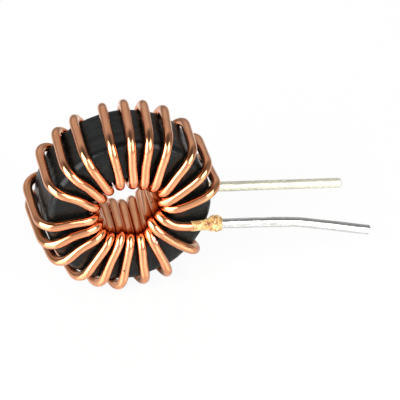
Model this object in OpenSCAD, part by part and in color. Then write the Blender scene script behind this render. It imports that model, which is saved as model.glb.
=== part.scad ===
// Toroidal inductor: a coated powder core wound with one length of thick enamelled
// copper wire. The ring stands on its rim on the lowest turns, with its axis along Y
// and its front towards -Y. Both ends of the wire leave towards +X, stripped and
// tinned for soldering, each with a collar of scorched enamel where its tin begins.

/* [Core] */
// Outside diameter of the coated core
core_od = 27.7; // [27.3:0.1:28.3]
// Diameter of the coated core's bore
core_id = 13.2; // [13.1:0.1:13.6]
// Thickness of the coated core along its axis
core_h = 10.8; // [10:0.1:12]
// Radius of the core's rounded edges
core_edge_r = 1.4; // [1.4:0.1:2]

/* [Wire] */
// Diameter of the wire's bare copper
copper_d = 1.5; // [1.3:0.05:1.5]
// Thickness of the enamel on the copper
enamel_t = 0.05; // [0.02:0.01:0.05]
// Air between the wire and the core's faces
face_gap = 0.2; // [0.2:0.05:0.5]
// Least air between the wire and the core's outer wall
rim_gap = 0.35; // [0.35:0.05:0.8]
// Least air between the wire and the wall of the bore
bore_gap = 0.05; // [0.05:0.01:0.1]
// Bend radius of the wire over the core's outer edges
rim_bend_r = 3; // [2.8:0.05:3]
// Bend radius of the wire over the bore's edges
bore_bend_r = 2.5; // [2.2:0.05:2.5]

/* [Leads] */
// Reach of the front lead from the ring's axis
front_reach = 41.6; // [36:0.1:60]
// Reach of the rear lead from the ring's axis
rear_reach = 40.2; // [36:0.1:60]
// Angle of both leads below the horizontal where they leave the ring
lead_droop = 13; // [8:0.5:16]
// Thickness of the tin on the stripped copper
tin_t = 0.07; // [0.05:0.01:0.12]
// Thickness of the scorched collars at their fattest
scorch_t = 0.4; // [0.2:0.05:0.6]

/* [Hidden] */

wire_r = copper_d / 2 + enamel_t;
copper_r = copper_d / 2;
seat_gap = 0.01;
tin_r = copper_r + seat_gap + tin_t;
leg_y = core_h / 2 + face_gap + wire_r;
rim_r = core_od / 2 + rim_gap + wire_r;
bore_r = core_id / 2 - bore_gap - wire_r;
bow_bend_r = 7;
lead_bend_r = 3;
tin_bend_r = 40;

// The turns are laid by hand, so no two are alike. Each list has one value per turn, in
// winding order. The first turn is only half a turn, from the front lead into the bore.
// Where a turn comes over the front outer edge, in degrees from +X towards +Z
rim_deg = [0, 8, 25, 42, 62, 75, 87, 100, 118, 133, 149, 177, 194, 211, 231, 246, 260, 277, 293, 317];
// How far it lags at the back outer edge
rim_lag = [0, 8, 6, 7, 9, 7, 6, 5, 3, 4, 4, 5, 9, 11, 11, 11, 11, 12, 13, 9];
// How far it stands off the outer wall beyond the least gap
rim_slack = [0, 0.1, 0, 0, 0.1, 0.1, 0.1, 0.1, 0.1, 0.1,
             0.2, 0.2, 0.1, 0.1, 0.1, 0.1, 0.36, 0, 0.42, 0.2];
// How far its front leg bows to the left of its way inwards
bow = [0, 0.3, 0.2, -0.2, -0.1, -0.3, -0.2, 0.1, 0, 0.4,
       0.6, 0.3, 0.8, 0.7, 0.1, 0.3, 0.1, 0.2, -0.1, 0.4];
// Where it goes over the front edge of the bore
bore_deg = [-21.5, -6, 9, 26.5, 44.5, 62.5, 81, 104, 121.5, 138.5,
            156, 172.5, 190, 208, 226, 245.5, 265.5, 283.5, 300.5, 318];
// How far ahead it comes out at the back
bore_lead = [11, 12, 13.5, 12.5, 11, 10.5, 9.5, 2.5, 1.5, 1,
             2, 16.5, 19, 20.5, 21, 18, 14.5, 13.5, 13, 12];
// How far it stands in from the wall of the bore beyond the least gap
bore_slack = [0.65, 0, 0.5, 0, 0.3, 0.3, 0.35, 0, 0.05, 0.25,
              0.3, 0.1, 0.2, 0.1, 0, 0.6, 0, 0, 0.05, 0.25];
// How much further in than that it stands at the front
bore_lean = [0.25, 0, 0.3, 0.25, 0.2, 0.4, 0.25, 0.2, 0.05, 0,
             -0.3, 0.1, 0.4, 0.4, 0.8, 0.85, 1, 0.2, 0.5, 1.6];

// The bends of each lead, from its tip inwards: how far along its way out from the
// ring's axis, and how far across it
front_lead = [[front_reach, -2.9], [core_od / 2 + 14.65, -1.1], [core_od / 2 + 0.75, -1.435],
    [core_id / 2 + 4, -2], [core_id / 2 + 1.6, -2]];
rear_lead = [[rear_reach, -2.42], [core_id / 2 + 1.9, -3.47]];
// The enamel ends this far beyond the front lead's third bend, and this far out on the rear
front_strip = 0.4;
rear_strip = core_od / 2 + 2.55;
// Each collar ends this far beyond the end of the enamel, and has this length
scorch_over = 0.6;
front_scorch_l = 5.2;
rear_scorch_l = 3;
rear_scorch_share = 0.6;
// Shares of the collars, from the wire side, that are only a thin film
front_film = 0.4;
rear_film = 0;
// Thickness of the tin over the cut end, and the break of its edge
tip_t = 0.3;
tip_break = 0.25;
// The tin starts this much slimmer, and has its full size after this length
start_slim = 0.04;
start_l = 2.5;

wire_sides = 12;
bend_chord = 1.3;
straight_below = 1;
round_fn = 48;
core_fn = 96;
bend_fn = 360;
bend_ease = 0.01;
bend_lap = 0.3;
cut_over = 1;
scorch_sides = 16;
scorch_rings = 12;
tin_bore_r = copper_r + seat_gap;
scorch_bore_r = (tin_r + seat_gap) / cos(180 / scorch_sides);
scorch_edge_t = 0.06;
scorch_swell = 150;
scorch_lean = 1.3;
twin_lump = 0.3;
triple_lump = 0.25;

function unit(v) = v / norm(v);
function on_ring(r, a, y) = [r * cos(a), y, r * sin(a)];
function on_lead(p, y) =
    [p.x * cos(lead_droop) + p.y * sin(lead_droop), y, p.y * cos(lead_droop) - p.x * sin(lead_droop)];

// The bend of radius r at corner b between a and c: places on its arc, each with its direction
function bend(a, b, c, r) =
    let (u = unit(a - b), v = unit(c - b), turn = 180 - acos(u * v))
    turn < straight_below ? [[b, unit(c - a)]] :
    let (reach = r * tan(turn / 2),
         middle = b + unit(u + v) * r / cos(turn / 2),
         from = b + u * reach - middle, to = b + v * reach - middle,
         steps = ceil(PI * r * turn / 180 / bend_chord))
    [for (k = [0:steps]) let (done = turn * k / steps, left = turn - done)
        [middle + (sin(left) * from + sin(done) * to) / sin(turn), unit(cos(done) * to - cos(left) * from)]];

// Places along straight runs joined by bends; each corner is a point and its bend radius
function route(corners) =
    let (n = len(corners) - 1)
    concat(
        [[corners[0][0], unit(corners[1][0] - corners[0][0])]],
        [for (i = [1:1:n - 1])
            each bend(corners[i - 1][0], corners[i][0], corners[i + 1][0], corners[i][1])],
        [[corners[n][0], unit(corners[n][0] - corners[n - 1][0])]]);

// The corners of one turn's way inwards over the front, then back through the bore
function leg_middle(a, b, side) = (a + b) / 2 + side * unit([a.z - b.z, 0, b.x - a.x]);
function turn_corners(i) =
    let (rim = rim_r + rim_slack[i], bore = bore_r - bore_slack[i],
         rim_front = on_ring(rim, rim_deg[i], -leg_y),
         bore_front = on_ring(bore - bore_lean[i], bore_deg[i], -leg_y))
    concat(
        i == 0 ? [] : [
            [on_ring(rim, rim_deg[i] - rim_lag[i], leg_y), rim_bend_r],
            [rim_front, rim_bend_r],
            [leg_middle(rim_front, bore_front, bow[i]), bow_bend_r]],
        [[bore_front, bore_bend_r],
         [on_ring(bore, bore_deg[i] + bore_lead[i], leg_y), bore_bend_r]]);

front_points = [for (p = front_lead) on_lead(p, -leg_y)];
rear_points = [for (p = rear_lead) on_lead(p, leg_y)];
front_strip_at = front_points[2] + front_strip * unit(front_points[1] - front_points[2]);
rear_strip_at = rear_points[1] + (rear_strip - rear_lead[1].x) * unit(rear_points[0] - rear_points[1]);
front_copper_end = front_points[0] + (tip_t + seat_gap) * unit(front_points[1] - front_points[0]);
rear_copper_end = rear_points[0] + (tip_t + seat_gap) * unit(rear_points[1] - rear_points[0]);

function heading(a, b) = atan2(b.z - a.z, b.x - a.x);
front_turn = heading(front_strip_at, front_points[1]) - heading(front_points[1], front_points[0]);

front_copper = route([[front_copper_end, 0], [front_points[1], tin_bend_r], [front_strip_at, 0]]);
enamelled = route(concat(
    [[front_strip_at, 0]],
    [for (i = [2:4]) [front_points[i], lead_bend_r]],
    [for (i = [0:len(rim_deg) - 1]) each turn_corners(i)],
    [[rear_points[1], lead_bend_r], [rear_strip_at, 0]]));
rear_copper = route([[rear_strip_at, 0], [rear_copper_end, 0]]);
stations = concat(
    [for (s = front_copper) [s[0], s[1], copper_r]],
    [for (s = enamelled) [s[0], s[1], wire_r]],
    [for (s = rear_copper) [s[0], s[1], copper_r]]);

// Points round a place, each at its own radius, the first in the direction u
function ring(place, u, radii) =
    let (v = cross(place[1], u), m = len(radii))
    [for (k = [0:m - 1]) place[0] + radii[k] * (cos(360 * k / m) * u + sin(360 * k / m) * v)];

// As many equal radii as a round ring has sides
function even(r, sides) = [for (k = [1:sides]) r];

// One sideways direction at each station, carried along the wire without twisting
function across(v, along) = unit(v - (v * along) * along);
sideways = [for (i = 0, v = across([0, 1, 0], stations[0][1]); i < len(stations);
    i = i + 1, v = i < len(stations) ? across(v, stations[i][1]) : v) v];
wire_rings = [for (i = [0:len(stations) - 1]) let (s = stations[i])
    ring([s[0], s[1]], sideways[i], even(s[2], wire_sides))];

// The part stands with its lowest turns on z = 0 and the middle of its length at x = 0
low_z = min([for (ring = wire_rings, p = ring) p.z]);
low_x = min([for (ring = wire_rings, p = ring) p.x]);
high_x = front_points[0].x + (tin_r - tip_break) * sin(heading(front_points[0], front_points[1]));
ring_at = [-(low_x + high_x) / 2, 0, -low_z];

// A closed skin over rings of as many points each, with flat ends unless it runs back into itself
module skin(rings, endless = false) {
    n = len(rings);
    m = len(rings[0]);
    ends = endless ? [] : [[for (k = [0:m - 1]) k], [for (k = [m - 1:-1:0]) (n - 1) * m + k]];
    walls = [for (i = [0:endless ? n - 1 : n - 2], k = [0:m - 1])
        let (next = (i + 1) % n * m, a = i * m + k, b = i * m + (k + 1) % m,
             c = next + k, d = next + (k + 1) % m)
        each [[a, c, b], [b, c, d]]];
    polyhedron([for (ring = rings) each ring], concat(ends, walls));
}

// A round bar up +Z that bends over towards +X. Its bend differs from both straight
// stretches by an ease in radius and laps into them, so that they join in clean steps.
module bent_bar(r, bend_tube_r, first, turn, second) {
    lap = asin(bend_lap / tin_bend_r);
    cylinder(r = r, h = first, $fn = round_fn);
    translate([tin_bend_r, 0, first]) {
        rotate([90, 0, 180]) rotate([0, 0, -lap])
            rotate_extrude(angle = turn + 2 * lap, $fn = bend_fn)
                translate([tin_bend_r, 0]) circle(r = bend_tube_r, $fn = round_fn);
        rotate([0, turn, 0]) translate([-tin_bend_r, 0, 0]) cylinder(r = r, h = second, $fn = round_fn);
    }
}

// The slim start of the tin, which the collar covers
module tin_start() {
    cylinder(r1 = tin_r - start_slim, r2 = tin_r, h = start_l, $fn = round_fn);
}

// The closed end of the tin, with its edge broken
module tin_nose() {
    cylinder(r1 = tin_r, r2 = tin_r - tip_break, h = tip_break, $fn = round_fn);
}

// Turns and moves a piece made up +Z so that it runs from a towards b, both at one depth
module aim(a, b) {
    translate(a) rotate([0, 90 - heading(a, b), 0]) children();
}

// A lumpy collar round the wire, laid along places that each have a direction
module scorch(places, thickness, film) {
    n = len(places) - 1;
    outer = [for (i = [0:n]) let (f = (i / n - film) / (1 - film))
        ring(places[i], across([0, 1, 0], places[i][1]), scorch_radii(f, thickness))];
    inner = [for (i = [n:-1:0])
        ring(places[i], across([0, 1, 0], places[i][1]), even(scorch_bore_r, scorch_sides))];
    skin(concat(outer, inner), endless = true);
}

// The collar swells towards the tin, in lumps that wander round it
function scorch_radii(f, thickness) =
    let (fat = thickness * sin(scorch_swell * pow(max(f, 0), scorch_lean)))
    [for (k = [0:scorch_sides - 1]) let (a = 360 * k / scorch_sides)
        scorch_bore_r + scorch_edge_t
            + fat * (1 + twin_lump * sin(2 * a + 200 * f) + triple_lump * sin(3 * a - 300 * f))];

module core() {
    color([0.16, 0.18, 0.18])
        translate(ring_at) rotate([90, 0, 0]) rotate_extrude($fn = core_fn) core_section();
}

module core_section() {
    wall = (core_od - core_id) / 2;
    e = core_edge_r;
    translate([core_id / 2, -core_h / 2]) {
        translate([e, 0]) square([wall - 2 * e, core_h]);
        translate([0, e]) square([wall, core_h - 2 * e]);
        for (x = [e, wall - e], y = [e, core_h - e])
            translate([x, y]) circle(r = e, $fn = round_fn);
    }
}

module winding() {
    color([0.85, 0.55, 0.38]) translate(ring_at) skin(wire_rings);
}

module front_lead_tin() {
    bend_reach = tin_bend_r * tan(front_turn / 2);
    first = norm(front_points[1] - front_strip_at) - bend_reach;
    second = norm(front_points[0] - front_points[1]) - bend_reach - tip_break;
    color([0.85, 0.86, 0.87]) translate(ring_at) aim(front_strip_at, front_points[1])
        difference() {
            union() {
                tin_start();
                translate([0, 0, start_l])
                    bent_bar(tin_r, tin_r - bend_ease, first - start_l, front_turn, second);
                translate([tin_bend_r, 0, first]) rotate([0, front_turn, 0])
                    translate([-tin_bend_r, 0, second]) tin_nose();
            }
            translate([0, 0, -cut_over])
                bent_bar(tin_bore_r, tin_bore_r + bend_ease, first + cut_over, front_turn,
                    second + tip_break - tip_t);
        }
}

module rear_lead_tin() {
    length = norm(rear_points[0] - rear_strip_at) - tip_break;
    color([0.85, 0.86, 0.87]) translate(ring_at) aim(rear_strip_at, rear_points[0])
        difference() {
            union() {
                tin_start();
                translate([0, 0, start_l]) cylinder(r = tin_r, h = length - start_l, $fn = round_fn);
                translate([0, 0, length]) tin_nose();
            }
            translate([0, 0, -cut_over])
                cylinder(r = tin_bore_r, h = length + tip_break - tip_t + cut_over, $fn = round_fn);
        }
}

module front_lead_scorch() {
    inwards = unit(front_points[3] - front_points[2]);
    outwards = unit(front_points[1] - front_points[2]);
    last = front_strip + scorch_over;
    color([0.80, 0.62, 0.35]) translate(ring_at)
        scorch([for (i = [0:scorch_rings])
            let (s = last - front_scorch_l * (1 - i / scorch_rings))
            [front_points[2] + (s > 0 ? s * outwards : -s * inwards), s > 0 ? outwards : -inwards]],
            scorch_t, front_film);
}

module rear_lead_scorch() {
    outwards = unit(rear_points[0] - rear_points[1]);
    color([0.70, 0.52, 0.30]) translate(ring_at)
        scorch([for (i = [0:scorch_rings])
            [rear_strip_at + (scorch_over - rear_scorch_l * (1 - i / scorch_rings)) * outwards, outwards]],
            scorch_t * rear_scorch_share, rear_film);
}

core();
winding();
front_lead_tin();
rear_lead_tin();
front_lead_scorch();
rear_lead_scorch();
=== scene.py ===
import math

import bpy
import numpy as np
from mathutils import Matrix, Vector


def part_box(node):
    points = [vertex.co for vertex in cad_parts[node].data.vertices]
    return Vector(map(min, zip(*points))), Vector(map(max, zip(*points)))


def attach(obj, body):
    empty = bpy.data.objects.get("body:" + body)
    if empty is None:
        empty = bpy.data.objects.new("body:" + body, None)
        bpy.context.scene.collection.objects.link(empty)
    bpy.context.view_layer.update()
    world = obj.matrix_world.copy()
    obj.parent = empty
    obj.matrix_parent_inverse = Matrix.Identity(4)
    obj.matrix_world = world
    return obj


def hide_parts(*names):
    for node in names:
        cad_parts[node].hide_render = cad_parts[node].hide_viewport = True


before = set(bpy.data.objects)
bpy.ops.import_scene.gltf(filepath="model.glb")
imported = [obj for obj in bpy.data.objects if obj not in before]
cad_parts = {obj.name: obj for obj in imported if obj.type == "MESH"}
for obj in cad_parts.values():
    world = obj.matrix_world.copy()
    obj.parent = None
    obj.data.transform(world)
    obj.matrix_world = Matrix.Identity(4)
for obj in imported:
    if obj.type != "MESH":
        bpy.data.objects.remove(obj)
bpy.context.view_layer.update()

# ---------------------------------------------------------------- Core
# A ring pressed from iron powder and coated all over with black epoxy. The coat is
# baked on, so it rounds the edges, flows into a faint orange peel and keeps a few
# blisters and runs.
MM = 0.001
core_low, core_high = (np.array(corner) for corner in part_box("core"))
ring_at = (core_low + core_high) / 2
core_od, core_id, core_h, core_edge_r = 27.7, 13.2, 10.8, 1.4
core_step = 0.3
peel_depth = 0.018
sag_depth = 0.05
# Bearing in degrees, side, distance from the axis or place along it, width and height in mm
blisters = [
    (-50, "front", 9.6, 0.75, 0.2),
    (-38, "rim", -3.1, 0.6, 0.16),
    (152, "rim", -4.2, 0.5, 0.15)]


def wander(points, size, seed, waves=48):
    """A smooth random height at each point, about -1 to 1: the sum of sine waves in
    random directions, whose lengths lie about the size, over the root of their number."""
    rng = np.random.default_rng(seed)
    way = rng.normal(size=(3, waves))
    way /= np.linalg.norm(way, axis=0) * size * rng.uniform(0.7, 1.6, waves)
    height = np.sin(2 * np.pi * (points @ way + rng.uniform(0, 1, waves))).sum(axis=1)
    return height / math.sqrt(waves)


def core_section(count):
    """Places and outward directions round the core's section, (radius, height) each:
    four quarter circles of the edge radius joined by straight walls, evenly spaced."""
    wall = (core_od - core_id) / 4 - core_edge_r
    tall = core_h / 2 - core_edge_r
    turn = np.radians(np.linspace(0, 90, 24))
    quarters = np.radians([0, 90, 180, 270])
    ways = np.concatenate([quarter + turn for quarter in quarters])
    middles = [[wall, tall], [-wall, tall], [-wall, -tall], [wall, -tall]]
    centres = np.repeat(middles, turn.size, axis=0)
    out = np.column_stack([np.cos(ways), np.sin(ways)])
    line = centres + core_edge_r * out
    line, out = np.vstack([line, line[:1]]), np.vstack([out, out[:1]])
    along = np.concatenate([[0], np.cumsum(np.linalg.norm(np.diff(line, axis=0), axis=1))])
    spots = np.linspace(0, along[-1], count, endpoint=False)
    line = np.column_stack([np.interp(spots, along, line[:, k]) for k in (0, 1)])
    out = np.column_stack([np.interp(spots, along, out[:, k]) for k in (0, 1)])
    line[:, 0] += (core_od + core_id) / 4
    return line, out / np.linalg.norm(out, axis=1, keepdims=True)


def lay_skin(name, rings, tips=None, **marks):
    """One closed mesh over rings of points, in mm about the ring's middle. The rings join
    end to end, or are closed at both ends by a fan round a tip. The marks are kept as
    point attributes. Faces are turned outwards by the sign of the volume they enclose."""
    count, sides = rings.shape[:2]
    points = rings.reshape(-1, 3)
    row = np.arange(count if tips is None else count - 1)[:, None] * sides
    col = np.arange(sides)[None, :]
    nxt = (col + 1) % sides
    above = (row + sides) % (count * sides)
    quads = np.stack([row + col, row + nxt, above + nxt, above + col], axis=-1).reshape(-1, 4)
    fans = np.zeros((0, 3), int)
    if tips is not None:
        points = np.vstack([points, tips])
        first, last = col[0], (count - 1) * sides + col[0]
        fans = np.vstack([
            np.column_stack([np.full(sides, count * sides), nxt[0], first]),
            np.column_stack([np.full(sides, count * sides + 1), last, last[0] + nxt[0]])])
    halves = np.vstack([quads[:, [0, 1, 2]], quads[:, [0, 2, 3]], fans])
    a, b, c = (points[halves[:, k]] for k in (0, 1, 2))
    if np.einsum("ij,ij->i", a, np.cross(b, c)).sum() < 0:
        quads, fans = quads[:, ::-1], fans[:, ::-1]
    mesh = bpy.data.meshes.new(name)
    mesh.vertices.add(len(points))
    mesh.vertices.foreach_set("co", (points * MM + ring_at).ravel())
    corners = np.concatenate([quads.ravel(), fans.ravel()])
    sizes = np.concatenate([np.full(len(quads), 4), np.full(len(fans), 3)])
    mesh.loops.add(len(corners))
    mesh.loops.foreach_set("vertex_index", corners)
    mesh.polygons.add(len(sizes))
    mesh.polygons.foreach_set("loop_start", np.concatenate([[0], np.cumsum(sizes)[:-1]]))
    mesh.polygons.foreach_set("use_smooth", np.ones(len(sizes), bool))
    for mark, values in marks.items():
        layer = mesh.attributes.new(mark, "FLOAT_VECTOR", "POINT")
        layer.data.foreach_set("vector", values.ravel())
    mesh.update(calc_edges=True)
    mesh.validate()
    piece = bpy.data.objects.new(name, mesh)
    bpy.context.collection.objects.link(piece)
    return piece


def core_skin():
    """The core's section carried round the ring: a place on it is a function of the angle
    round the ring and of the way along the section. Each place is moved along its outward
    direction by the orange peel, the sag of the coat, and a cap for each blister."""
    line, out = core_section(round(36 / core_step))
    angle = np.linspace(0, 2 * np.pi, round(math.pi * core_od / core_step), endpoint=False)
    c, s = np.cos(angle)[:, None], np.sin(angle)[:, None]
    r, y = line[:, 0], line[:, 1]
    places = np.stack([r * c, np.broadcast_to(y, (angle.size, y.size)), r * s], axis=-1)
    ways = np.stack([out[:, 0] * c, np.broadcast_to(out[:, 1], places.shape[:2]), out[:, 0] * s],
                    axis=-1)
    flat = places.reshape(-1, 3)
    lift = peel_depth * wander(flat, 1.3, 3) + sag_depth * wander(flat, 5.0, 4)
    for bearing, side, height, size, tall in blisters:
        a = math.radians(bearing)
        if side == "front":
            at = np.array([height * math.cos(a), -core_h / 2, height * math.sin(a)])
        else:
            at = np.array([core_od / 2 * math.cos(a), height, core_od / 2 * math.sin(a)])
        away = np.linalg.norm(flat - at, axis=1) / size
        lift += tall * np.exp(-2.5 * away ** 2)
    lift = lift.reshape(places.shape[:2])[..., None] - peel_depth
    return places + ways * lift


def linear(code):
    """The linear colour, with alpha, of an sRGB hex code such as "#2B302F"."""
    parts = [int(code[k:k + 2], 16) / 255 for k in (1, 3, 5)]
    return (*[p / 12.92 if p <= 0.04045 else ((p + 0.055) / 1.055) ** 2.4 for p in parts], 1.0)


def add_node(material, kind, sockets=None, **settings):
    """Adds one node. A socket's value is a number, a colour, or the output that feeds it."""
    tree = material.node_tree
    node = tree.nodes.new("ShaderNode" + kind)
    for setting, value in settings.items():
        setattr(node, setting, value)
    for socket, value in (sockets or {}).items():
        if isinstance(value, bpy.types.NodeSocket):
            tree.links.new(value, node.inputs[socket])
        else:
            node.inputs[socket].default_value = value
    return node


def new_material(name):
    """A material with no nodes yet."""
    material = bpy.data.materials.new(name)
    material.use_nodes = True
    material.node_tree.nodes.clear()
    return material


def black_epoxy():
    """Baked epoxy: near black with a breath of green, satin, finely grained."""
    m = new_material("baked_black_epoxy")
    spot = add_node(m, "TexCoord").outputs["Object"]
    cloud = add_node(m, "TexNoise", {"Vector": spot, "Scale": 1 / (2.2 * MM), "Detail": 4})
    grain = add_node(m, "TexNoise", {"Vector": spot, "Scale": 1 / (0.22 * MM), "Detail": 3})
    peel = add_node(m, "TexNoise", {"Vector": spot, "Scale": 1 / (0.7 * MM), "Detail": 1})
    tone = add_node(m, "MapRange", {"Value": cloud.outputs[0], "From Min": 0.35, "From Max": 0.7})
    colour = add_node(m, "Mix", {0: tone.outputs[0], 6: linear("#0A0D0C"), 7: linear("#101413")},
                      data_type="RGBA")
    satin = add_node(m, "MapRange", {"Value": grain.outputs[0], "From Min": 0.3, "From Max": 0.7,
                                     "To Min": 0.24, "To Max": 0.4})
    rise = add_node(m, "Bump", {"Height": peel.outputs[0], "Strength": 0.35, "Distance": 0.03 * MM})
    fine = add_node(m, "Bump", {"Height": grain.outputs[0], "Strength": 0.5, "Distance": 0.012 * MM,
                                "Normal": rise.outputs[0]})
    shader = add_node(m, "BsdfPrincipled", {
        "Base Color": colour.outputs[2], "Roughness": satin.outputs[0], "IOR": 1.3,
        "Coat Weight": 0.05, "Coat Roughness": 0.1, "Normal": fine.outputs[0]})
    add_node(m, "OutputMaterial", {"Surface": shader.outputs[0]})
    return m


core = lay_skin("epoxy_core", core_skin())
core.data.materials.append(black_epoxy())
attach(core, "root")
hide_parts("core")

# ---------------------------------------------------------------- Winding
# One length of 1.5 mm copper wire under a clear amber enamel, laid round the ring by
# hand in twenty turns. Each turn goes inwards over the front, back through the bore and
# out over the back; its first end leaves at the front, its last end at the back.
wire_r = 0.8
leg_y = 6.4
rim_r = 15.0
bore_r = 5.75
rim_bend_r, bore_bend_r, bow_bend_r, lead_bend_r, tin_bend_r = 3.0, 2.5, 7.0, 3.0, 40.0
lead_droop = 13
rim_deg = np.array([0, 8, 25, 42, 62, 75, 87, 100, 118, 133,
                    149, 177, 194, 211, 231, 246, 260, 277, 293, 317])
rim_lag = np.array([0, 8, 6, 7, 9, 7, 6, 5, 3, 4, 4, 5, 9, 11, 11, 11, 11, 12, 13, 9])
rim_slack = np.array([0, .1, 0, 0, .1, .1, .1, .1, .1, .1, .2, .2, .1, .1, .1, .1, .36, 0, .42, .2])
bow = np.array([0, 0.3, 0.2, -0.2, -0.1, -0.3, -0.2, 0.1, 0, 0.4,
                0.6, 0.3, 0.8, 0.7, 0.1, 0.3, 0.1, 0.2, -0.1, 0.4])
bore_deg = np.array([-21.5, -6, 9, 26.5, 44.5, 62.5, 81, 104, 121.5, 138.5,
                     156, 172.5, 190, 208, 226, 245.5, 265.5, 283.5, 300.5, 318])
bore_lead = np.array([11, 12, 13.5, 12.5, 11, 10.5, 9.5, 2.5, 1.5, 1,
                      2, 16.5, 19, 20.5, 21, 18, 14.5, 13.5, 13, 12])
bore_slack = np.array([0.65, 0, 0.5, 0, 0.3, 0.3, 0.35, 0, 0.05, 0.25,
                       0.3, 0.1, 0.2, 0.1, 0, 0.6, 0, 0, 0.05, 0.25])
bore_lean = np.array([0.25, 0, 0.3, 0.25, 0.2, 0.4, 0.25, 0.2, 0.05, 0,
                      -0.3, 0.1, 0.4, 0.4, 0.8, 0.85, 1, 0.2, 0.5, 1.6])
front_lead = np.array([[41.6, -2.9], [28.5, -1.1], [14.6, -1.435], [10.6, -2], [8.2, -2]])
rear_lead = np.array([[8.5, -3.47], [40.2, -2.42]])
front_strip = 0.4
rear_strip = 16.4
wire_step = 0.33
wire_sides = 28
wire_dome = 0.6
wire_lap = 0.2
straight = math.radians(0.5)
spring = 0.55
path_step = 0.05


def unit(v):
    """Each vector over its own length."""
    return v / np.linalg.norm(v, axis=-1, keepdims=True)


def on_ring(r, degrees, y):
    """Places at a radius and an angle round the ring's axis, from +X towards +Z."""
    a = np.radians(degrees)
    return np.column_stack([r * np.cos(a), np.full(a.shape, y), r * np.sin(a)])


def on_lead(spots, y):
    """Places given by how far along and across the drooping leads they lie, turned by the droop."""
    d = math.radians(lead_droop)
    x, z = spots[:, 0], spots[:, 1]
    return np.column_stack([x * math.cos(d) + z * math.sin(d), np.full(x.shape, y),
                            z * math.cos(d) - x * math.sin(d)])


def wire_corners():
    """The corners of the wire's way from one tip to the other, and the bend radius at each:
    per turn the back and front of the rim, the bowed middle of the leg, and the front and
    back of the bore."""
    back = on_ring(rim_r + rim_slack, rim_deg - rim_lag, leg_y)
    front = on_ring(rim_r + rim_slack, rim_deg, -leg_y)
    bore = on_ring(bore_r - bore_slack - bore_lean, bore_deg, -leg_y)
    out = on_ring(bore_r - bore_slack, bore_deg + bore_lead, leg_y)
    side = unit(np.cross(bore - front, [0, 1, 0]))
    middle = (front + bore) / 2 + bow[:, None] * side
    turns = np.stack([back, front, middle, bore, out], axis=1).reshape(-1, 3)[3:]
    one_turn = [rim_bend_r, rim_bend_r, bow_bend_r, bore_bend_r, bore_bend_r]
    radii = np.tile(one_turn, rim_deg.size)[3:]
    corners = np.vstack([on_lead(front_lead, -leg_y), turns, on_lead(rear_lead, leg_y)])
    return corners, np.concatenate([[0, tin_bend_r], [lead_bend_r] * 3, radii, [lead_bend_r, 0]])


def wire_path():
    """Evenly spaced places along the wire: straight runs joined by arcs that touch both
    runs, then eased with a short bell-shaped mean, because a wire springs back a little."""
    corners, radii = wire_corners()
    before, at, after = corners[:-2], corners[1:-1], corners[2:]
    u, v, r = unit(before - at), unit(after - at), radii[1:-1, None]
    turn = np.pi - np.arccos(np.clip((u * v).sum(axis=1), -1, 1))[:, None]
    at, u, v, r, turn = (each[turn[:, 0] > straight] for each in (at, u, v, r, turn))
    middle = at + unit(u + v) * r / np.cos(turn / 2)
    start, stop = at + u * r * np.tan(turn / 2) - middle, at + v * r * np.tan(turn / 2) - middle
    done = turn[:, :, None] * np.linspace(0, 1, 25)[None, :, None]
    left = turn[:, :, None] - done
    blend = np.sin(left) * start[:, None] + np.sin(done) * stop[:, None]
    arcs = middle[:, None] + blend / np.sin(turn[:, :, None])
    line = np.vstack([corners[:1], arcs.reshape(-1, 3), corners[-1:]])
    along = np.concatenate([[0], np.cumsum(np.linalg.norm(np.diff(line, axis=0), axis=1))])
    spots = np.linspace(0, along[-1], round(along[-1] / path_step))
    line = np.column_stack([np.interp(spots, along, line[:, k]) for k in range(3)])
    half = round(4 * spring / path_step)
    bell = np.exp(-0.5 * (np.arange(-half, half + 1) * path_step / spring) ** 2)
    bell /= bell.sum()
    reach = np.arange(half, 0, -1)[:, None]
    before_tip = line[0] - reach * (line[1] - line[0])
    past_tip = line[-1] + reach[::-1] * (line[-1] - line[-2])
    padded = np.vstack([before_tip, line, past_tip])
    line = np.column_stack([np.convolve(padded[:, k], bell, "valid") for k in range(3)])
    along = np.concatenate([[0], np.cumsum(np.linalg.norm(np.diff(line, axis=0), axis=1))])
    return line, along


def frame_along(path, spots):
    """Places at given lengths along the path, with the way the wire runs there, the way
    straight out from the core's section, and the way across both."""
    line, along = path
    places = np.column_stack([np.interp(spots, along, line[:, k]) for k in range(3)])
    slope = np.gradient(line, along, axis=0)
    ways = unit(np.column_stack([np.interp(spots, along, slope[:, k]) for k in range(3)]))
    heart = places * [1, 0, 1]
    heart *= (core_od + core_id) / 4 / np.linalg.norm(heart, axis=1, keepdims=True)
    away = places - heart
    away = unit(away - (away * ways).sum(axis=1, keepdims=True) * ways)
    return places, ways, away, np.cross(ways, away)


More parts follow.
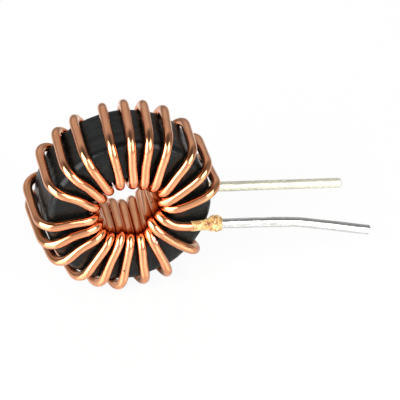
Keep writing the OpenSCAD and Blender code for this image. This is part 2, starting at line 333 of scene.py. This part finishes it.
def rod(name, path, start, stop, radius, sides, step, dome):
    """A bar along a stretch of the path: a place on it is a function of the length along
    the path and of the angle round it, and radius gives how far out it lies. Each end is
    drawn in along a quarter ellipse as deep as its dome. The mark "bar" keeps where each
    place would lie, in mm, if the wire were pulled straight, for patterns that follow it."""
    rise = np.radians(np.linspace(8, 84, 9))
    head = start + dome[0] * (1 - np.cos(rise))
    tail = stop - dome[1] * (1 - np.cos(rise))
    middle = np.linspace(start + dome[0], stop - dome[1], round((stop - start) / step))
    spots = np.concatenate([head, middle, tail[::-1]])
    shrink = np.concatenate([np.sin(rise), np.ones(middle.size), np.sin(rise)[::-1]])[:, None]
    places, ways, away, beside = frame_along(path, spots)
    round_it = np.linspace(0, 2 * np.pi, sides, endpoint=False)
    along, angle = np.meshgrid(spots, round_it, indexing="ij")
    bar = np.stack([wire_r * np.cos(angle), wire_r * np.sin(angle), along], axis=-1)
    size = radius(along, angle, bar.reshape(-1, 3)) * shrink
    rings = (places[:, None] + (size * np.cos(angle))[..., None] * away[:, None]
             + (size * np.sin(angle))[..., None] * beside[:, None])
    tips = frame_along(path, np.array([start, stop]))[0]
    bar = np.vstack([bar.reshape(-1, 3), [[0, 0, start], [0, 0, stop]]])
    return lay_skin(name, rings, tips, bar=bar)


def wire_radius(along, angle, bar):
    """The wire's radius, a few microns off round where hands and pliers pressed it."""
    return wire_r + 0.008 * wander(bar, 3.0, 11).reshape(along.shape)


# Where the wire is marked, in mm about the ring's middle
# Two scuffed spots on a small dent: they are dulled, and their near-white colour is a painted
# glint.
scuffs_and_painted_glints = [(3.56, -6.56, -5.22), (3.89, -6.75, -5.91)]
scuff_size = 0.4
scuff_dulling = 0.45
# Dark dots: the first is painted shade on the dent beside the scuffs, and the other two are dark
# specks in the enamel.
dark_specks_and_dent_shade = [(3.66, -6.17, -4.98), (-2.09, -7.09, -10.22), (-6.27, -5.97, -11.72)]
dot_size = 0.22


def dabs(m, spots, size):
    """1 at each of the spots, given in mm about the ring's middle, fading to 0 at the size."""
    here = add_node(m, "TexCoord").outputs["Object"]
    most = 0.0
    for spot in spots:
        middle = tuple(np.array(spot) * MM + ring_at)
        gap = add_node(m, "VectorMath", {0: here, 1: middle}, operation="DISTANCE").outputs["Value"]
        mark = add_node(m, "MapRange", {
            "Value": gap, "From Min": 0.5 * size * MM, "From Max": size * MM,
            "To Min": 1.0, "To Max": 0.0}).outputs[0]
        most = add_node(m, "Math", {0: mark, 1: most}, operation="MAXIMUM").outputs[0]
    return most


def enamelled_copper():
    """Drawn copper under clear amber enamel: a warm metal with long faint draw lines, a
    glossy skin over it, dark specks in the enamel, a dark dot of painted shade on a small
    dent, and two scuffed spots, dulled and painted near-white as a painted glint."""
    m = new_material("enamelled_copper_wire")
    bar = add_node(m, "Attribute", attribute_name="bar").outputs["Vector"]
    drawn = add_node(m, "Mapping", {"Vector": bar, "Scale": (1, 1, 0.12)}).outputs[0]
    streak = add_node(m, "TexNoise", {"Vector": drawn, "Scale": 1 / 0.22, "Detail": 3})
    cloud = add_node(m, "TexNoise", {"Vector": bar, "Scale": 1 / 2.4, "Detail": 3})
    grain = add_node(m, "TexNoise", {"Vector": bar, "Scale": 1 / 0.14, "Detail": 2})
    tone = add_node(m, "MapRange", {"Value": cloud.outputs[0], "From Min": 0.3, "From Max": 0.7})
    warm = add_node(m, "Mix", {0: tone.outputs[0], 6: linear("#E29A6C"), 7: linear("#ECA67A")},
                    data_type="RGBA")
    line = add_node(m, "MapRange", {"Value": streak.outputs[0], "From Min": 0.3, "From Max": 0.75,
                                    "To Min": 0.0, "To Max": 0.25})
    lined = add_node(m, "Mix", {0: line.outputs[0], 6: warm.outputs[2], 7: linear("#B97347")},
                     data_type="RGBA")
    cell = add_node(m, "TexVoronoi", {"Vector": bar, "Scale": 1 / 5.0})
    speck = add_node(m, "MapRange", {
        "Value": cell.outputs["Distance"], "From Min": 0.03, "From Max": 0.055,
        "To Min": 0.75, "To Max": 0.0})
    # The dots add painted shade by the scuffs to the dark specks.
    dots_and_painted_shade = dabs(m, dark_specks_and_dent_shade, dot_size)
    dark = add_node(m, "Math", {0: speck.outputs[0], 1: dots_and_painted_shade}, operation="MAXIMUM")
    specked_with_painted_shade = add_node(m, "Mix", {0: dark.outputs[0], 6: lined.outputs[2], 7: linear("#3A1C0C")},
                       data_type="RGBA")
    # Painted highlight: the scuffed spots are mixed towards near-white as a painted glint, and
    # their roughness is raised below.
    wear_and_painted_glint = dabs(m, scuffs_and_painted_glints, scuff_size)
    colour = add_node(m, "Mix", {0: wear_and_painted_glint, 6: specked_with_painted_shade.outputs[2], 7: linear("#FFF4EA")},
                      data_type="RGBA")
    dull = add_node(m, "MapRange", {"Value": streak.outputs[0], "From Min": 0.3, "From Max": 0.7,
                                    "To Min": 0.09, "To Max": 0.16})
    dull = add_node(m, "Math", {0: wear_and_painted_glint, 1: scuff_dulling, 2: dull.outputs[0]},
                    operation="MULTIPLY_ADD")
    rise = add_node(m, "Bump", {"Height": streak.outputs[0], "Strength": 0.2,
                                "Distance": 0.01 * MM})
    fine = add_node(m, "Bump", {"Height": grain.outputs[0], "Strength": 0.1, "Distance": 0.004 * MM,
                                "Normal": rise.outputs[0]})
    shader = add_node(m, "BsdfPrincipled", {
        "Base Color": colour.outputs[2], "Metallic": 1.0, "Roughness": dull.outputs[0],
        "Coat Weight": 0.35, "Coat Roughness": 0.05, "Normal": fine.outputs[0]})
    add_node(m, "OutputMaterial", {"Surface": shader.outputs[0]})
    return m


path = wire_path()
lead_corner = on_lead(front_lead, -leg_y)
first_run = np.linalg.norm(lead_corner[1] - lead_corner[0])
second_run = np.linalg.norm(lead_corner[2] - lead_corner[1])
# How far along the path the enamel starts and ends; it runs on a little under the tin
front_end = first_run + second_run - front_strip
rear_end = path[1][-1] - (rear_lead[1, 0] - rear_strip)
winding = rod("enamelled_wire", path, front_end - wire_lap, rear_end + wire_lap,
              wire_radius, wire_sides, wire_step, (wire_dome, wire_dome))
winding.data.materials.append(enamelled_copper())
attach(winding, "root")
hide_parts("winding")

# ---------------------------------------------------------------- Tinned ends
# The last part of each end of the wire, stripped and dipped in solder. The tin follows
# the copper with soft waves and closes over the cut end in a low dome.
tin_r = 0.83
tin_sides = 40
tin_step = 0.15
tin_clear = 0.1
tin_sunk = 0.012
tin_wave = 0.016


def tin_radius(along, angle, bar):
    """The tin's outside radius: slow waves along and round the dipped wire."""
    waves = wander(bar * [1, 1, 0.35], 1.4, 21).reshape(along.shape)
    return tin_r - tin_sunk + tin_wave * waves


def dipped_tin(name, tint, smooth, rough, metal):
    """Solder left as it ran off: metal with long soft ripples and a few dull streaks, its
    roughness between smooth and rough. Less than 1 of metal is a dried film of pale flux."""
    m = new_material(name)
    bar = add_node(m, "Attribute", attribute_name="bar").outputs["Vector"]
    run = add_node(m, "Mapping", {"Vector": bar, "Scale": (1, 1, 0.2)}).outputs[0]
    ripple = add_node(m, "TexNoise", {"Vector": run, "Scale": 1 / 0.5, "Detail": 2})
    streak = add_node(m, "TexNoise", {"Vector": run, "Scale": 1 / 0.16, "Detail": 4})
    tone = add_node(m, "MapRange", {"Value": streak.outputs[0], "From Min": 0.35, "From Max": 0.75})
    colour = add_node(m, "Mix", {0: tone.outputs[0], 6: linear(tint), 7: linear("#B4B4A9")},
                      data_type="RGBA")
    dull = add_node(m, "MapRange", {"Value": streak.outputs[0], "From Min": 0.3, "From Max": 0.7,
                                    "To Min": smooth, "To Max": rough})
    soft = add_node(m, "Bump", {"Height": ripple.outputs[0], "Strength": 0.5,
                                "Distance": 0.05 * MM})
    fine = add_node(m, "Bump", {"Height": streak.outputs[0], "Strength": 0.2,
                                "Distance": 0.015 * MM, "Normal": soft.outputs[0]})
    shader = add_node(m, "BsdfPrincipled", {
        "Base Color": colour.outputs[2], "Metallic": metal, "Roughness": dull.outputs[0],
        "Normal": fine.outputs[0]})
    add_node(m, "OutputMaterial", {"Surface": shader.outputs[0]})
    return m


front_tin = rod("front_tinned_end", path, 0, front_end - tin_clear,
                tin_radius, tin_sides, tin_step, (0.25, 0.1))
rear_tin = rod("rear_tinned_end", path, rear_end + tin_clear, path[1][-1],
               tin_radius, tin_sides, tin_step, (0.1, 0.5))
# Piece, CAD node, material, tint, least and most roughness, share of metal
tinned_ends = [
    (front_tin, "front_lead_tin", "dipped_tin_front", "#E9EBEC", 0.12, 0.3, 1.0),
    (rear_tin, "rear_lead_tin", "dipped_tin_rear", "#FBF7E0", 0.35, 0.5, 0.6)]
for tin, node_name, finish, tint, smooth, rough, metal in tinned_ends:
    tin.data.materials.append(dipped_tin(finish, tint, smooth, rough, metal))
    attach(tin, "root")
    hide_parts(node_name)

# ---------------------------------------------------------------- Scorched collars
# Where each stripped end begins, the heat of the solder burnt the enamel back and it
# set with the flux into a lumpy crust, pale and glassy outside and brown underneath.
scorch_over = 0.6
crust_base_r = 0.85
crust_sides = 72
crust_step = 0.05
crust_dome = 0.05
# Piece, CAD node, end of the enamel, way to the tip, length, share of film, thickness, seed
collars = [
    ("front_scorched_collar", "front_lead_scorch", front_end, -1, 5.2, 0.4, 0.42, 31),
    ("rear_scorched_collar", "rear_lead_scorch", rear_end, 1, 3.0, 0, 0.25, 37)]


def crust_radius(edge, way, length, film, thick, seed):
    """How far out the crust lies: past the share that is only a film it swells towards the
    tin as the sine of a power of the way along, with lumps of three sizes on it."""
    def radius(along, angle, bar):
        share = 1 - (edge + way * scorch_over - along) * way / length
        share = np.clip((share - film) / (1 - film), 0, 1)
        swell = thick * np.sin(np.radians(150 * share ** 1.3)) ** 0.9
        lumps = (0.30 * wander(bar, 1.5, seed) + 0.22 * wander(bar, 0.6, seed + 1)
                 + 0.10 * wander(bar, 0.25, seed + 2)).reshape(along.shape)
        return crust_base_r + swell * np.clip(1 + lumps, 0.15, 1.8)
    return radius


def scorched_crust():
    """Burnt enamel and flux: amber to cream with patches of brown scorch, part glassy."""
    m = new_material("scorched_enamel_and_flux")
    bar = add_node(m, "Attribute", attribute_name="bar").outputs["Vector"]
    patch = add_node(m, "TexNoise", {"Vector": bar, "Scale": 1 / 0.9, "Detail": 4})
    fleck = add_node(m, "TexNoise", {"Vector": bar, "Scale": 1 / 0.25, "Detail": 3})
    ramp = add_node(m, "ValToRGB", {0: patch.outputs[0]})
    ramp.color_ramp.elements[0].position = 0.32
    ramp.color_ramp.elements[0].color = linear("#7A451C")
    ramp.color_ramp.elements[1].position = 0.62
    ramp.color_ramp.elements[1].color = linear("#D8B87C")
    middle = ramp.color_ramp.elements.new(0.46)
    middle.color = linear("#BE8A48")
    pale = add_node(m, "MapRange", {"Value": fleck.outputs[0], "From Min": 0.52, "From Max": 0.66})
    colour = add_node(m, "Mix", {0: pale.outputs[0], 6: ramp.outputs[0], 7: linear("#E8D1A0")},
                      data_type="RGBA")
    rise = add_node(m, "Bump", {"Height": fleck.outputs[0], "Strength": 0.6, "Distance": 0.06 * MM})
    shader = add_node(m, "BsdfPrincipled", {
        "Base Color": colour.outputs[2], "Roughness": 0.42, "IOR": 1.55,
        "Subsurface Weight": 0.15, "Subsurface Scale": 0.4 * MM,
        "Coat Weight": 0.4, "Coat Roughness": 0.12, "Normal": rise.outputs[0]})
    add_node(m, "OutputMaterial", {"Surface": shader.outputs[0]})
    return m


crust = scorched_crust()
for name, node_name, edge, way, length, film, thick, seed in collars:
    stops = sorted([edge + way * scorch_over, edge + way * (scorch_over - length)])
    crust_out = crust_radius(edge, way, length, film, thick, seed)
    collar = rod(name, path, *stops, crust_out, crust_sides, crust_step, (crust_dome, crust_dome))
    collar.data.materials.append(crust)
    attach(collar, "root")
    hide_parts(node_name)

# ---------------------------------------------------------------- Floor, light and camera
# A glossy pale table, which mirrors the lamps into the wire. The surround is soft white in
# front and behind, darker at the sides, overhead and low behind. Two large soft lamps stand
# in front, on the left and on the right.
floor_half = 1.5
floor_z = -0.00004
table_seen_white = 0.93
table_mirrored_white = 0.1
floor = bpy.data.meshes.new("white_table")
floor_corners = ((-floor_half, -floor_half), (floor_half, -floor_half),
                 (floor_half, floor_half), (-floor_half, floor_half))
floor.from_pydata([(x, y, floor_z) for x, y in floor_corners], [], [(0, 1, 2, 3)])
table = bpy.data.objects.new("white_table", floor)
bpy.context.collection.objects.link(table)
paper = new_material("white_paper")
rays = add_node(paper, "LightPath").outputs
direct = add_node(paper, "Math", {0: rays["Is Camera Ray"], 1: table_seen_white},
                  operation="MULTIPLY")
mirrored = add_node(paper, "Math", {0: rays["Is Glossy Ray"], 1: rays["Is Transmission Ray"]},
                    operation="MAXIMUM")
mirrored = add_node(paper, "Math", {0: mirrored.outputs[0], 1: table_mirrored_white},
                    operation="MULTIPLY")
share = add_node(paper, "Math", {0: direct.outputs[0], 1: mirrored.outputs[0]}, operation="MAXIMUM")
gloss = add_node(paper, "BsdfPrincipled", {"Base Color": linear("#E9E9E8"), "Roughness": 0.14,
                                           "IOR": 2.5})
glow = add_node(paper, "Emission", {"Color": (1, 1, 1, 1), "Strength": 1.0})
both = add_node(paper, "MixShader", {0: share.outputs[0], 1: gloss.outputs[0], 2: glow.outputs[0]})
add_node(paper, "OutputMaterial", {"Surface": both.outputs[0]})
floor.materials.append(paper)

world = bpy.data.worlds.new("studio")
bpy.context.scene.world = world
world.use_nodes = True
world.node_tree.nodes.clear()
way = add_node(world, "TexCoord").outputs["Generated"]
axes = add_node(world, "SeparateXYZ", {0: way}).outputs
facing = add_node(world, "Math", {0: axes["Y"]}, operation="ABSOLUTE")
walls = add_node(world, "MapRange", {"Value": facing.outputs[0], "From Min": 0.5, "From Max": 0.9,
                                     "To Min": 0.3, "To Max": 0.9})
low_back = add_node(world, "Math", {0: axes["Z"], 1: -1.2, 2: axes["Y"]},
                    operation="MULTIPLY_ADD")
behind = add_node(world, "MapRange", {"Value": low_back.outputs[0],
                                      "From Min": 0.15, "From Max": 0.8,
                                      "To Min": 1.0, "To Max": 0.35})
overhead = add_node(world, "MapRange", {"Value": axes["Z"], "From Min": 0.8, "From Max": 0.96,
                                        "To Min": 1.0, "To Max": 0.4})
level = add_node(world, "Math", {0: walls.outputs[0], 1: overhead.outputs[0]}, operation="MULTIPLY")
level = add_node(world, "Math", {0: level.outputs[0], 1: behind.outputs[0]}, operation="MULTIPLY")
seen_here = add_node(world, "LightPath").outputs["Is Camera Ray"]
level = add_node(world, "Math", {0: level.outputs[0], 1: seen_here}, operation="MAXIMUM")
sky = add_node(world, "Background", {"Color": (1, 1, 1, 1), "Strength": level.outputs[0]})
add_node(world, "OutputWorld", {"Surface": sky.outputs[0]})


def soft_lamp(name, bearing, height, distance, width, tall, radiance):
    """A rectangular soft lamp facing the part, placed by its bearing from the front (positive
    to the right) and its height, in degrees. Its power is its radiance times pi times its area."""
    b, h = math.radians(bearing), math.radians(height)
    away = np.array([math.sin(b) * math.cos(h), -math.cos(b) * math.cos(h), math.sin(h)])
    light = bpy.data.lights.new(name, "AREA")
    light.shape = "RECTANGLE"
    light.size, light.size_y = width, tall
    light.energy = radiance * math.pi * width * tall
    lamp = bpy.data.objects.new(name, light)
    bpy.context.collection.objects.link(lamp)
    lamp.location = ring_at + away * distance
    lamp.rotation_euler = (math.radians(90 - height), 0, b)
    return lamp


soft_lamp("left_soft_lamp", -66, 28, 0.6, 0.56, 0.62, 6.4)
soft_lamp("right_soft_lamp", 38, 30, 0.6, 0.42, 0.48, 4.8)

view = bpy.data.cameras.new("camera")
view.sensor_width = 36.0
view.lens = 548.55
view.clip_end = 10
camera = bpy.data.objects.new("camera", view)
bpy.context.collection.objects.link(camera)
camera.location = (-0.16866, -0.77876, 0.62334)
camera.rotation_euler = [math.radians(a) for a in (52.4368, 2.6934, -14.3493)]
bpy.context.scene.camera = camera
bpy.context.scene.view_settings.view_transform = "Standard"
